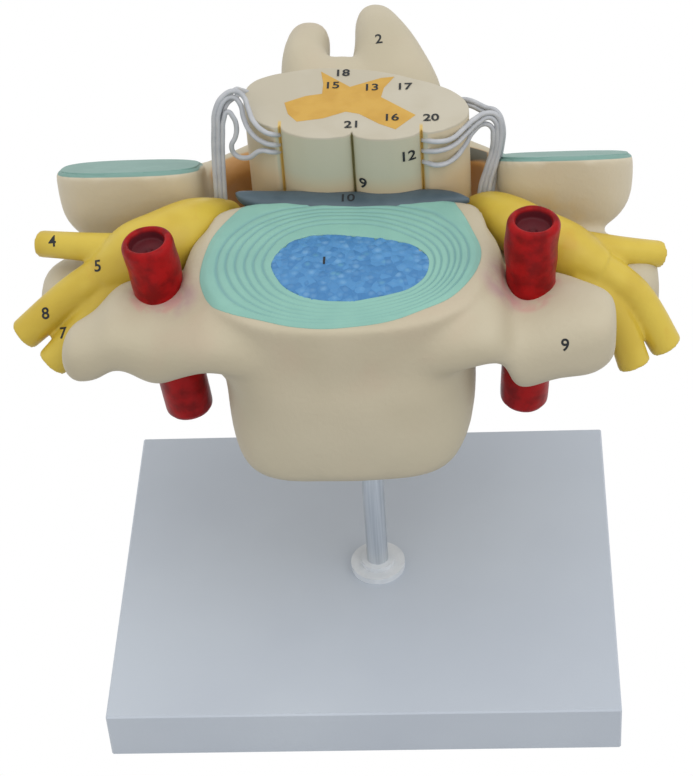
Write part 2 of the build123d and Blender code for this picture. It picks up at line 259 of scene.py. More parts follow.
def layOver(material, colour, tint, *masks, share=1.0):
    # the tint over the colour, where all the masks meet
    for mask in masks:
        share = addNode(material, "Math", {0: mask, 1: share}, operation='MULTIPLY')
    return addNode(material, "Mix", {0: share, 6: colour, 7: tint}, 2, data_type='RGBA')


def clouds(material, where, sizeMm, detail, low, high):
    # soft patches of about one size
    cloud = addNode(material, "TexNoise", {"Vector": where, "Scale": 1000 / sizeMm, "Detail": detail})
    return addNode(material, "MapRange", {0: cloud, 1: low, 2: high}, **softly)


def spotsMask(material, where, spots):
    # round patches: where each lies, and its inner and outer radius
    mask = 0.0
    for spot, nearMm, farMm in spots:
        middle = Vector(spot) * mm
        away = addNode(material, "VectorMath", {0: where, 1: middle}, "Value", operation='DISTANCE')
        patch = addNode(material, "MapRange", {0: away, 1: farMm * mm, 2: nearMm * mm}, **softly)
        mask = addNode(material, "Math", {0: patch, 1: mask}, operation='MAXIMUM')
    return mask


def planeMask(material, where, spot, normal, lowMm, highMm):
    # from 0 at one height over a plane to 1 at another
    arm = addNode(material, "VectorMath", {0: where, 1: Vector(spot) * mm}, operation='SUBTRACT')
    height = addNode(material, "VectorMath", {0: arm, 1: normal}, "Value", operation='DOT_PRODUCT')
    return addNode(material, "MapRange", {0: height, 1: lowMm * mm, 2: highMm * mm}, **softly)


def bandMask(material, where, axis, centreMm, halfMm, softMm=0.3):
    # a stripe across one axis; a negative softMm gives what lies outside it
    along = addNode(material, "SeparateXYZ", {0: where}, axis)
    offset = addNode(material, "Math", {0: along, 1: centreMm * mm}, operation='SUBTRACT')
    away = addNode(material, "Math", {0: offset}, operation='ABSOLUTE')
    return addNode(material, "MapRange", {0: away, 1: (halfMm + softMm) * mm, 2: halfMm * mm}, **softly)


# joint facets: middle and half depth of both, then what each side has of its own, -1 the left and 1 the right
facets = {"y": 93, "deep": 24, -1: {"x": 109.5, "slope": 29, "wide": 73, "padWide": 34},
          1: {"x": 103.5, "slope": 33, "wide": 68, "padWide": 31.5}}
bonePaint = {  # patches as place, inner and outer radius
    "stains": [((-79, 0, 208), 7, 16), ((73, 3, 208), 8, 17)],
    "rims": [((-87.5, 6, 203), 13.5, 17), ((84, 6, 203), 13.5, 17)],
    "smears": [((-98, 68, 188), 6, 30), ((96, 68, 190), 6, 30)],
    "canalMiddle": (0, 96, 0), "canalHalf": (70, 35), "padHalf": (34.5, 26.5),
}


def castResinBone():
    # Slush-cast resin, sprayed bone colour: satin, faintly mottled, pink by the vessels, green on the joints
    material, where = newMaterial("cast resin, bone colour", 0.5, 0.35)
    colour = layOver(material, "#C4BAA2", "#BCB299", clouds(material, where, 60, 2, 0.32, 0.7))
    colour = layOver(material, colour, "#C2AA94", clouds(material, where, 38, 3, 0.5, 0.75), share=0.3)
    # painted shade: the bone greyer and darker from 30 mm under the body's top downward
    low = planeMask(material, where, (0, 0, bodyTop), (0, 0, 1), -30, -75)
    colour = layOver(material, colour, "#B6AF9A", low, share=0.6)
    ragged = clouds(material, where, 11, 4, 0.25, 0.65)
    stains = spotsMask(material, where, bonePaint["stains"])
    colour = layOver(material, colour, "#AC8590", ragged, stains, share=0.6)
    ragged = clouds(material, where, 6, 4, 0.35, 0.62)
    rims = spotsMask(material, where, bonePaint["rims"])
    colour = layOver(material, colour, "#C78E8A", ragged, rims, share=0.5)
    # painted light: the bone out on the joint pillars, beyond 80 mm, lighter cream
    outward = bandMask(material, where, "X", 0, 80, -18)
    pillars = bandMask(material, where, "Y", 92, 20, 14)
    colour = layOver(material, colour, "#D8CDB5", outward, pillars, share=0.75)
    patchy = clouds(material, where, 14, 3, 0.3, 0.7)
    smears = spotsMask(material, where, bonePaint["smears"])
    colour = layOver(material, colour, "#DDB866", patchy, smears, share=0.6)

    # brown lining and dark rim of the canal, by how far out a point lies in its oval: about 1 on the wall
    middle = Vector(bonePaint["canalMiddle"]) * mm
    wide, deep = bonePaint["canalHalf"]
    oval = (1 / (wide * mm), 1 / (deep * mm), 0)
    arm = addNode(material, "VectorMath", {0: where, 1: middle}, operation='SUBTRACT')
    share = addNode(material, "VectorMath", {0: arm, 1: oval}, operation='MULTIPLY')
    square = addNode(material, "VectorMath", {0: share, 1: share}, operation='MULTIPLY')
    reach = addNode(material, "VectorMath", {0: square, 1: square}, "Value", operation='DOT_PRODUCT')
    inside = addNode(material, "MapRange", {0: reach, 1: 1.22, 2: 1.04}, **softly)
    edge = addNode(material, "MapRange", {0: reach, 1: 1.16, 2: 1.08}, **softly)
    behind = planeMask(material, where, (0, 0, 0), (0, 1, 0), 100, 108)
    # the brown is the canal's own paint, with painted shade: darker brown lower down, paler tan towards the
    # top
    high = planeMask(material, where, (0, 0, 190), (0, 0, 1), 0, 22)
    brown = layOver(material, "#B8803C", "#DDB27A", high)
    colour = layOver(material, colour, brown, inside, behind, share=0.92)
    crest = planeMask(material, where, (62, 0, 195.5), (-0.37, 0, 0.93), 0, 1.2)
    right = bandMask(material, where, "X", 60, 6, 2)
    colour = layOver(material, colour, "#3C4944", crest, right, edge, behind, share=0.9)

    for side in (-1, 1):
        x, lean = side * facets[side]["x"], math.radians(facets[side]["slope"])
        up = (0, math.sin(lean), math.cos(lean))
        painted = planeMask(material, where, (x, facets["y"], bodyTop), up, -2.1, -1.6)
        beside = bandMask(material, where, "X", x, bonePaint["padHalf"][0], 1)
        ahead = bandMask(material, where, "Y", facets["y"], bonePaint["padHalf"][1], 1)
        colour = layOver(material, colour, "#7A9F96", painted, beside, ahead)
    grain = addNode(material, "TexNoise", {"Vector": where, "Scale": 1000 / 3, "Detail": 3})
    waves = addNode(material, "TexNoise", {"Vector": where, "Scale": 1000 / 16, "Detail": 2})
    fine = addNode(material, "Math", {0: grain, 1: waves}, operation='ADD')
    return finishMaterial(material, colour, fine, 0.22)


def tintedResin(name, light, dark, patchMm, roughness, bumpMm=0.25):
    # Brushed-on enamel over resin: slightly uneven colour and brush waves under a satin skin
    material, where = newMaterial(name, roughness, 0.45)
    patch = clouds(material, where, patchMm, 3, 0.35, 0.66)
    waves = addNode(material, "TexNoise", {"Vector": where, "Scale": 1000 / 4, "Detail": 3})
    return finishMaterial(material, layOver(material, light, dark, patch), waves, bumpMm)


def discGreen():
    # Carved resin layers under one coat of green enamel: satin, with painted shade darker and bluer in the
    # grooves
    material, where = newMaterial("enamel on carved resin, disc green", 0.48, 0.4)
    colour = layOver(material, "#8ABBAD", "#84B5A9", clouds(material, where, 24, 3, 0.35, 0.66))
    # painted shade: darker and bluer where the groove marks lie
    groove = addNode(material, "Attribute", {}, "Fac", attribute_name="groove")
    colour = layOver(material, colour, "#709DA2", groove, share=0.7)
    grain = addNode(material, "TexNoise", {"Vector": where, "Scale": 1000 / 4, "Detail": 3})
    return finishMaterial(material, colour, grain, 0.12)


def cordCream():
    # Cast resin block, cream all over, with painted light: the sides warmer, the front greyer and cooler as
    # painted shade, and a painted orange reflection low down; yellow paint run down the side clefts, dark in
    # the middle one
    material, where = newMaterial("cast resin, cord cream", 0.52, 0.35)
    colour = layOver(material, "#C2BBA9", "#BCB4A0", clouds(material, where, 30, 3, 0.35, 0.66))
    side = planeMask(material, where, (0, 0, cordTop), (0, 0, 1), -0.9, -1.6)
    front = planeMask(material, where, (0, 78, 0), (0.09, 0.995, 0), 0, -3)
    low = planeMask(material, where, (0, 0, 219), (0, 0, 1), 11, 0)
    # painted light: the sides below the cut face warmer cream than the top
    colour = layOver(material, colour, "#CCBD9E", side, share=0.75)
    between = bandMask(material, where, "X", 2, 36, 1)
    # painted shade: the front between the outer clefts greyer and cooler
    colour = layOver(material, colour, "#B9B7A1", side, front, between, share=0.95)
    # painted reflection: an orange glow low on the sides, from the brown canal
    colour = layOver(material, colour, "#CFAE7C", low, side, share=0.4)
    for cleftX in (-32.2, 35.5):
        cleft = bandMask(material, where, "X", cleftX, 0.6)
        colour = layOver(material, colour, "#D4B052", front, cleft, share=0.8)
    middle = bandMask(material, where, "X", 2.6, 0.55)
    colour = layOver(material, colour, "#8F8650", middle, front, side, share=0.8)
    grain = addNode(material, "TexNoise", {"Vector": where, "Scale": 1000 / 7, "Detail": 3})
    return finishMaterial(material, colour, grain, 0.15)


def nerveYellow():
    # Soft vinyl, painted yellow by brush: satin gloss with orange where the paint pools
    material, where = newMaterial("painted vinyl, yellow", 0.4, 0.45)
    colour = layOver(material, "#D3B945", "#C8AB38", clouds(material, where, 30, 3, 0.36, 0.66))
    colour = layOver(material, colour, "#CB9C34", clouds(material, where, 16, 4, 0.58, 0.74), share=0.4)
    waves = addNode(material, "TexNoise", {"Vector": where, "Scale": 1000 / 11, "Detail": 2})
    return finishMaterial(material, colour, waves, 0.4)


def arteryRed():
    # Moulded tube dipped in red gloss: deep red with darker streaks, dark brown down the open end
    material, where = newMaterial("dipped gloss, red", 0.38, 0.14)
    colour = layOver(material, "#A20F12", "#7C090C", clouds(material, where, 8, 4, 0.36, 0.66))
    hole = addNode(material, "Attribute", {}, "Fac", attribute_name="hole")
    colour = layOver(material, colour, "#58232A", hole, share=0.9)
    waves = addNode(material, "TexNoise", {"Vector": where, "Scale": 1000 / 6, "Detail": 3})
    return finishMaterial(material, colour, waves, 0.35)


def nucleusBlue():
    # Blue granules under clear lacquer: green flecks, painted highlights pale on the crowns of some granules,
    # over a soft bumpy face
    material, where = newMaterial("granular resin, blue", 0.42, 0.45)
    grain = addNode(material, "TexVoronoi", {"Vector": where, "Scale": 1000 / 3.8}, "Distance")
    tone = addNode(material, "SeparateColor", {0: grain.node.outputs["Color"]})
    first, second, third = tone.node.outputs[:3]  # three chance values for each granule
    ranges = ((first, 0, 1), (second, 0.15, 0.9), (third, 0.78, 0.95), (grain, 0.6, 0.12))
    deep, pale, green, heart = [addNode(material, "MapRange", {0: value, 1: low, 2: high}, **softly)
                                for value, low, high in ranges]
    colour = layOver(material, "#3B79B0", "#4E8CC1", deep)
    # painted highlights: pale on the crowns of a random share of granules
    colour = layOver(material, colour, "#7FAFD6", pale, heart, share=0.5)
    colour = layOver(material, colour, "#68AAB4", green, heart, share=0.5)
    humps = addNode(material, "Math", {0: grain, 1: -1.0}, operation='MULTIPLY')
    return finishMaterial(material, colour, humps, 0.5)


def paintedBoard():
    # Sprayed fibreboard: smooth pale blue-grey, faint orange peel and softly uneven tone
    material, where = newMaterial("sprayed board, pale blue grey", 0.36)
    colour = layOver(material, "#C0C8D2", "#BAC2CD", clouds(material, where, 110, 3, 0.3, 0.7))
    peel = addNode(material, "TexNoise", {"Vector": where, "Scale": 1000 / 1.6, "Detail": 2})
    return finishMaterial(material, colour, peel, 0.03)


def platedRod():
    # Drawn steel, nickel plated: bright, with faint streaks along its length
    material, where = newMaterial("nickel-plated steel", 0.36, metallic=1.0)
    along = addNode(material, "Mapping", {"Vector": where, "Scale": (1, 1, 0.02)})
    colour = layOver(material, "#E0E4E8", "#CBD0D5", clouds(material, along, 1.2, 2, 0.3, 0.7))
    return finishMaterial(material, colour)


bone = castResinBone()
greyInlay = tintedResin("enamel on resin, ochre", "#CCA145", "#C4973B", 12, 0.5)
slate = tintedResin("enamel on resin, slate", "#50616B", "#465761", 14, 0.42)
cartilageGreen = tintedResin("enamel on resin, joint green", "#7CA299", "#769C93", 16, 0.5, 0.1)
rootletGrey = tintedResin("vinyl strand, grey", "#BBBDC1", "#AEB1B6", 8, 0.45, 0.05)
inkBlack = tintedResin("index ink, black", "#1C2024", "#262A2E", 4, 0.7, 0.0)
discEnamel = discGreen()
cordResin = cordCream()
nerveVinyl = nerveYellow()
arteryGloss = arteryRed()
nucleusGrain = nucleusBlue()
boardPaint = paintedBoard()
rodPlate = platedRod()
collarPlastic = tintedResin("moulded acetal, pale grey", "#DADEE2", "#D0D5DA", 9, 0.3, 0.03)
print("materials done")


# Vertebra: one casting

boneForm = {"voxel": 1.75, "smoothing": 10, "afterCanal": 3, "canal": (1.5, 96, 68.5, 35),
            "canalZ": (110, 280), "waveSize": 24, "waveDepth": 0.6, "sweeps": 28, "sweepX": (120, 100),
            "sweepY": (62, 40), "sweepZ": (214, 206), "bodyLow": 127, "backBarEnd": {-1: 153, 1: 148},
            "spineStart": (140, 205), "spineReach": {"left": 227, "right": 241, "web": 187}}


def xRing(x, y, z, deep, tall, power=2.6):
    return ovalRing((x, y, z), (0, 1, 0), (0, 0, 1), deep, tall, power)


def bodyForm():
    low, top = boneForm["bodyLow"], bodyTop
    levels = [
        (low, -2, 46.5, 48, 35, 4.0, 2.8), (low + 3, -2, 53, 55, 39, 4.2, 2.8),
        (low + 15, -1, 58.5, 55, 43, 3.6, 2.8), (low + 32, -1, 59.5, 52, 46, 3.0, 3.2),
        (low + 46, -2, 61, 50, 46.5, 2.8, 3.8), (low + 58, -5, 68, 48, 48, 2.6, 4.5),
        (top - 16, -2, 66, 48, 51, 2.4, 6.0), (top, -1, 67, 48, 51, 2.4, 7.0)]
    rings = [levelRing(x, 10, z, a, front, p, back, q) for z, x, a, front, back, p, q in levels]
    return skinForm("body", rings)


def shoulderForm():
    # the bone's rim beyond the disc, which falls away to the nerves on both sides
    low = bodyTop - 34
    levels = [(low, 60, 26, 40), (low + 16, 71, 30, 44), (low + 26, 75.5, 32, 46), (low + 30.5, 73.5, 31, 45),
              (low + 32.8, 69, 29, 43)]
    return skinForm("shoulder", [levelRing(-2.5, 14, z, a, front, 3.0, back) for z, a, front, back in levels])


def frontBarForm(side):
    left = [(20, -2, -25, 28, 16), (42, -3, -23, 32, 17), (63, -3, -19, 33, 15), (76, 0, -24, 32, 16),
            (92, 4, -31, 30, 19), (108, 0, -25, 24, 15), (120, -6, -31, 17, 14), (130, -9, -33, 13, 12),
            (135, -10, -33, 7, 6)]
    right = [(20, -2, -25, 28, 16), (42, -3, -23, 32, 17), (63, -3, -18, 33, 14), (71, -1, -21, 32, 15),
             (79, 3, -36, 31, 21), (97, 1, -31, 28, 20), (112, -6, -28, 21, 19), (121, -8, -26, 15, 15),
             (124, -8, -26, 8, 10)]
    spots = left if side < 0 else right
    return skinForm("frontBar", [xRing(side * x, y, bodyTop + up, a, b) for x, y, up, a, b in spots])


def backBarForm(side):
    end = boneForm["backBarEnd"][side]
    z = bodyTop - 47
    spots = [(40, 46, z + 7, 16, 15), (70, 56, z + 6, 22, 19), (100, 54, z + 1, 32, 20),
             (end - 22, 50, z, 25, 20), (end - 6, 48, z, 19, 16), (end, 48, z, 12, 10)]
    return skinForm("backBar", [xRing(side * x, y, at, a, b, 2.5) for x, y, at, a, b in spots])


def pillarForm(side):
    facet = facets[side]
    x, half = facet["x"], facet["wide"] / 2
    deep, y, top = facets["deep"], facets["y"], bodyTop
    levels = [(top - 66, x - 7, y + 4, half - 17, deep - 8), (top - 46, x - 9, y + 2, half - 15, deep - 2),
              (top - 34, x - 4, y, half - 8, deep), (top - 24, x - 1, y, half - 1.5, deep + 1),
              (top - 10, x, y, half, deep + 1.5), (top + 18, x, y, half - 0.5, deep + 1)]
    pillar = skinForm("pillar", [levelRing(side * at, back, z, a, b, 2.8) for z, at, back, a, b in levels])
    selectOnly(pillar)
    lean = math.radians(facet["slope"])
    bpy.ops.object.mode_set(mode='EDIT')
    bpy.ops.mesh.select_all(action='SELECT')
    bpy.ops.mesh.bisect(plane_co=(side * x * mm, y * mm, top * mm), use_fill=True, clear_outer=True,
                        plane_no=(0, math.sin(lean), math.cos(lean)))
    bpy.ops.object.mode_set(mode='OBJECT')
    return pillar


def laminaForm():
    bend = [(98, 98, -34, 27, 11), (78, 109, -39, 26, 12), (62, 126, -43, 24, 12), (31, 142, -38, 25, 12)]
    spots = [(-x, *rest) for x, *rest in bend] + [(0, 146, -32, 27, 13)] + bend[::-1]
    rings = []
    for index, (x, y, up, a, b) in enumerate(spots):
        before, after = spots[max(index - 1, 0)], spots[min(index + 1, len(spots) - 1)]
        along = Vector((after[0] - before[0], after[1] - before[1], 0)).normalized()
        rings.append(ovalRing((x, y, bodyTop + up), (0, 0, 1), along.cross(Vector((0, 0, 1))), a, b, 2.4))
    return skinForm("laminae", rings)


def spinousForm(sections, reach):
    rings = []
    startY, startZ = boneForm["spineStart"]
    for x, share, up, half, tall in sections:
        centre = (x, startY + (reach - startY) * share, startZ + up)
        rings.append(ovalRing(centre, (1, 0, 0), (0, 0, 1), half, tall, 2.5))
    return skinForm("spinous", rings)


def boneCasting():
    tips = {  # the forked spine: x, share of its reach, height, half width and half height
        "left": [(-10, 0, -20, 27, 19), (-19, 0.3, -9, 20, 23), (-27.5, 0.6, -1, 13, 18),
                 (-26.5, 0.88, 0, 11, 12.5), (-26.5, 1, 0, 5.5, 6)],
        "right": [(13, 0, -20, 30, 19), (18, 0.3, -9, 27, 23), (15.5, 0.6, -1, 18, 18.5),
                  (9.5, 0.88, 0, 11.5, 14), (8, 1, 0, 6, 7)],
        "web": [(-4, 0, -20, 26, 19), (-6, 0.55, -10, 19, 23), (-8, 0.9, -5, 14, 19), (-8, 1, -4, 8, 12)]}
    forms = [bodyForm(), shoulderForm(), frontBarForm(-1), frontBarForm(1), backBarForm(-1), backBarForm(1),
             pillarForm(-1), pillarForm(1), laminaForm()]
    forms += [spinousForm(sections, boneForm["spineReach"][part]) for part, sections in tips.items()]
    bone = joinForms("vertebraCasting", forms)
    moulded(bone, boneForm["voxel"], boneForm["smoothing"])
    x, y, a, b = boneForm["canal"]
    cutAway(bone, skinForm("canal", [levelRing(x, y, z, a, b, 2.5) for z in boneForm["canalZ"]], 1))
    moulded(bone, boneForm["voxel"], boneForm["afterCanal"])
    soft = bone.vertex_groups.new(name="front")  # the body runs into its bars in wide sweeps
    for vert in bone.data.vertices:
        x, y, z = vert.co / mm
        weight = smoothStep(y, *boneForm["sweepY"]) * smoothStep(z, *boneForm["sweepZ"])
        soft.add([vert.index], weight * smoothStep(abs(x), *boneForm["sweepX"]), 'REPLACE')
    applyModifier(bone, 'SMOOTH', factor=0.5, iterations=boneForm["sweeps"], vertex_group="front")
    roughen(bone, boneForm["waveSize"], boneForm["waveDepth"])
    return bone


vertebra = boneCasting()
placePiece(vertebra, bone, ["vertebra"])
print("vertebra done", len(vertebra.data.polygons))


# Nerves: a trunk with its swelling, and three cut branches

nerveForm = {
    "voxel": 1.0, "smoothing": 6, "steps": 6, "sides": 40,
    -1: {"radii": [8, 11.5, 14, 16.5, 16, 10.5], "ends": [(152, 56, -18), (161, 25, -50), (147, 14, -59)],
         "trunk": [(60, 78, -21), (67, 68, -16), (76, 56, -10), (88, 44, -10), (104, 37, -13),
                   (119, 33, -21)]},
    1: {"radii": [8, 11, 13, 14, 14, 10], "ends": [(149, 54, -33), (151, 24, -66), (135, 13, -68)],
        "trunk": [(60, 78, -22), (67, 68, -16), (76, 57, -13), (88, 45, -13), (104, 37, -17),
                  (119, 33, -25)]},
}


def limbForm(spots, radii):
    rings = []
    across = Vector((0, 0, 1))
    for index, (spot, radius) in enumerate(zip(spots, radii)):
        along = Vector(spots[min(index + 1, len(spots) - 1)]) - Vector(spots[max(index - 1, 0)])
        along.normalize()
        across = (across - along * across.dot(along)).normalized()
        rings.append(ovalRing(spot, across, along.cross(across), radius, radius, 2, sides=nerveForm["sides"]))
    return skinForm("limb", rings, nerveForm["steps"])


def nerveCasting(name, side):
    trunk, trunkRadii, (dorsal, main, inner) = [nerveForm[side][key] for key in ("trunk", "radii", "ends")]
    hub = trunk[4][2]  # height of the swelling, where the branches start
    limbs = [
        (trunk, trunkRadii),
        ([(104, 40, hub + 1), (130, 47, dorsal[2] * 0.75), dorsal], [9, 7, 6.6]),
        ([(110, 35, hub - 4), (135, 31, main[2] * 0.6), main], [11, 9, 8]),
        ([(106, 31, hub - 7), (125, 23, inner[2] * 0.64), inner], [10, 8, 8]),
    ]
    forms = [limbForm([(side * x, y, bodyTop + up) for x, y, up in spots], radii) for spots, radii in limbs]
    return moulded(joinForms(name, forms), nerveForm["voxel"], nerveForm["smoothing"])


leftNerve = nerveCasting("nerveLeft", -1)
rightNerve = nerveCasting("nerveRight", 1)
placePiece(leftNerve, nerveVinyl, ["spinal_nerve_left"])
placePiece(rightNerve, nerveVinyl, ["spinal_nerve_right"])
print("nerves done")


# Rootlets: stiff moulded strands from the cord's clefts over an arch into each nerve
# Each strand's routes give x, y and the height over the cord's cut face.

rootletTube = {"radius": 1.25, "sides": 5, "smoothness": 8}
rootletRoutes = {
    "front_rootlet_left_1": [[
        (-32.4, 76.2, -5.6), (-35.8, 73.2, -3.2), (-39.5, 73.6, -1.7), (-44.6, 78, 1.4), (-47.3, 84.5, 4.6),
        (-49.6, 88.5, 8.8), (-53.7, 89, 11.5), (-59, 87, 10.2), (-62.9, 84, 4.9), (-64.6, 82, -5.9),
        (-65.6, 80, -19.2), (-66.4, 75, -52)]],
    "front_rootlet_left_2": [[
        (-33, 76.2, -11.3), (-36, 73.2, -9.3), (-40, 73.6, -8.1), (-45.8, 77.2, -5.4), (-49.7, 83.5, -1),
        (-51.3, 87.5, 5), (-54.5, 88.5, 8.4), (-58.4, 86.5, 8.2), (-61.4, 83.5, 3.5), (-62.7, 82, -7.1),
        (-63.6, 80, -19.8), (-64.4, 75, -52)]],
    "front_rootlet_left_3": [[
        (-33.2, 76.2, -15.5), (-36.5, 73.2, -13.5), (-41.4, 73.6, -12.8), (-49.4, 77, -19.3),
        (-54.9, 79.5, -19.2), (-56.6, 80, -14.2), (-54.4, 81, -9.6), (-53.5, 82, -4.5), (-54.8, 83, 0.7),
        (-57.3, 84, 3), (-59.3, 83, -0.3), (-60.6, 82, -9), (-61.6, 80.5, -20.9), (-62.3, 75, -52)]],
    "back_rootlet_left": [[
        (-46, 107, -4), (-51.7, 104, 1.5), (-55.3, 93, 8.3), (-59.7, 88.5, 6.6), (-62.5, 86, 0),
        (-64.2, 84, -13.2), (-65.4, 77, -53)], [
        (-46, 105, -7), (-51.3, 103, -0.5), (-54.3, 93, 5), (-58, 88.5, 4.2), (-60.2, 86, -1.2),
        (-62.1, 84, -13.3), (-63.2, 77, -53)]],
    "front_rootlet_right_1": [[
        (34.7, 72, -7.6), (38.1, 67.2, -5.1), (43.9, 64.6, -4.1), (50, 68.2, -5.1), (55.3, 74.5, -4.3),
        (60.6, 81, -3.5), (66.8, 85, -2.8), (71.3, 85.5, -4.5), (73.3, 84.5, -10.8), (72.7, 82.5, -20),
        (70.4, 79.8, -29.8), (67.8, 78.3, -38.8), (65.9, 74.5, -54)]],
    "front_rootlet_right_2": [[
        (34.5, 72, -13.7), (37.9, 67.2, -11.2), (44.2, 64.6, -9.3), (50.8, 68.7, -9.3), (56.6, 76, -8.3),
        (62.4, 82, -6.3), (67.7, 84.5, -5.1), (70.8, 84.5, -7.8), (71.4, 83.5, -13.6), (70.7, 82, -21.9),
        (68, 79.8, -30.9), (65.4, 78.3, -39.9), (63.9, 74.5, -54)]],
    "front_rootlet_right_3": [[
        (34.3, 72, -19.6), (37.7, 67.2, -18), (43, 64.4, -17.6), (50.1, 68.5, -17.6), (56, 76, -14.7),
        (59.9, 82, -11.5), (65.3, 84.3, -8.6), (68.8, 84, -10.3), (69.5, 83, -15.5), (68.6, 82, -23.6),
        (65.7, 80, -32.8), (63.1, 78.5, -41.2), (61.5, 74.5, -54)]],
    "back_rootlet_right": [[
        (52, 100, -5), (57.8, 98, -3.9), (66.4, 93, -5.2), (71.6, 89, -4.9), (74.2, 86.5, -10.5),
        (73.5, 85, -23.6), (70.3, 82.5, -36), (67.1, 76.5, -55)], [
        (52, 99, -8), (57.8, 97, -6.2), (65.4, 92.5, -7.4), (69.9, 89, -7.7), (72.3, 86.5, -12.8),
        (71.7, 85, -24.7), (68.1, 82, -36.7), (64.7, 76.5, -55)]],
}


def strandTube(node, routes):
    curve = bpy.data.curves.new(node + "_line", 'CURVE')
    curve.dimensions = '3D'
    curve.bevel_depth = rootletTube["radius"] * mm
    curve.bevel_resolution = rootletTube["sides"]
    curve.use_fill_caps = True
    curve.resolution_u = rootletTube["smoothness"]
    for route in routes:
        line = curve.splines.new('BEZIER')
        line.bezier_points.add(len(route) - 1)
        for knot, (x, y, up) in zip(line.bezier_points, route):
            knot.co = (x * mm, y * mm, (cordTop + up) * mm)
            knot.handle_left_type = knot.handle_right_type = 'AUTO'
    strand = shadeSmooth(asMesh(newPiece(node + "_strand", curve)))
    placePiece(strand, rootletGrey, [node])


for node, routes in rootletRoutes.items():
    strandTube(node, routes)
print("rootlets done")


# Disc: green layers draped over the rim of the bone, and a granular blue core
# Shares run from 0 at the outer edge to 1 at the core.

discForm = {"sides": 320, "rows": 96, "grooves": (0.2, 0.34, 0.47, 0.6, 0.74, 0.88), "depth": 0.6,
            "half": 0.021, "skirt": 4, "drape": 0.11, "overBone": 0.2, "gap": 0.3, "window": 30,
            "rounded": 0.34, "waveHigh": 0.25, "waveSize": 9, "lowest": 210,
            "crowding": (0.12, 0.35), "wander": 0.008, "fadeFront": 0.85, "fadeBack": 0.45}
discEdge = [
    (-49, 58.9), (-58, 47), (-65, 31.5), (-68.2, 11), (-67.3, -2), (-61.5, -15), (-52, -22.5), (-38, -28.3),
    (-24.7, -33), (-9, -35), (8, -33.4), (23.1, -30), (36, -23.6), (47.5, -15.8), (56, -4.5), (61.3, 8),
    (62.5, 20), (58.5, 35), (52.5, 51), (46, 59.5), (20, 60.5), (-10, 60.5), (-38, 60.5)]
coreEdge = [
    (-34.8, 8), (-34.3, 15.5), (-31, 22.5), (-26.5, 28), (-18.4, 32), (-8, 32.6), (5.8, 30.4), (19.5, 27.5),
    (29.5, 23.6), (36, 17.5), (38.4, 9.5), (36, -1.8), (28.5, -9.8), (16.1, -14.4), (5, -17), (-7.6, -16.9),
    (-20, -12.6), (-29, -5)]
coreForm = {"centre": (1.5, 8), "sides": 320, "rows": 72, "dome": 1.3, "granule": 3.6, "granuleHigh": 0.55,
            "overlap": 0.3, "sunk": 0.2, "skirt": 5}


boneTree = BVHTree.FromObject(vertebra, bpy.context.evaluated_depsgraph_get())


def boneHeight(x, y):
    spot = boneTree.ray_cast(Vector((x, y, boneForm["canalZ"][1])) * mm, (0, 0, -1))[0]
    return spot.z / mm if spot else discForm["lowest"]


def grooveMark(share, turn):
    # how deep in a groove a point lies; the grooves fade in front and crowd behind
    behind, ahead = max(0.0, math.sin(turn)) ** 2, max(0.0, -math.sin(turn)) ** 1.5
    shift, squeeze = discForm["crowding"]
    mark = 0.0
    for index, groove in enumerate(discForm["grooves"]):
        at = groove + behind * (shift - squeeze * groove)
        at += discForm["wander"] * math.sin(3 * turn + 1.7 * index)
        mark += math.exp(-((share - at) / discForm["half"]) ** 2)
    return min(mark, 1.0) * (1 - discForm["fadeFront"] * ahead) * (1 - discForm["fadeBack"] * behind)


def discRings():
    cx, cy = coreForm["centre"]
    sides, window = discForm["sides"], discForm["window"]
    outer = polarLine(discEdge, (cx, cy), sides)
    inner = polarLine(coreEdge, (cx, cy), sides)
    rounder = [sum(outer[(n + k) % sides] for k in range(-window, window + 1)) / (2 * window + 1)
               for n in range(sides)]
    turns = [2 * math.pi * step / sides for step in range(sides)]
    rows, depths = [], []
    for row in range(discForm["rows"] + 1):
        share = row / discForm["rows"]
        ring, marks = [], []
        for turn, rim, calm, near in zip(turns, outer, rounder, inner):
            far = rim + (calm - rim) * smoothStep(share, 0, discForm["rounded"])
            mark = grooveMark(share, turn)
            reach = far + (near - far) * share
            x, y = cx + math.cos(turn) * reach, cy + math.sin(turn) * reach
            wave = noise.noise(Vector((x, y, 0)) / discForm["waveSize"])
            z = discTop - discForm["depth"] * mark + discForm["waveHigh"] * wave
            if share < discForm["overBone"]:
                under = boneHeight(x, y) + discForm["gap"]
                z = max(under, under + (z - under) * smoothStep(share, 0, discForm["drape"]))
            ring.append(Vector((x, y, z)))
            marks.append(mark)
        rows.append(ring)
        depths.append(marks)
    rows += [[Vector((p.x, p.y, p.z - discForm["skirt"])) for p in rows[end]] for end in (-1, 0)]
    depths += [[0.0] * sides] * 2
    ring = gridForm("discLayers", rows)
    groove = ring.data.attributes.new("groove", 'FLOAT', 'POINT')
    groove.data.foreach_set("value", [mark for marks in depths for mark in marks])
    return ring


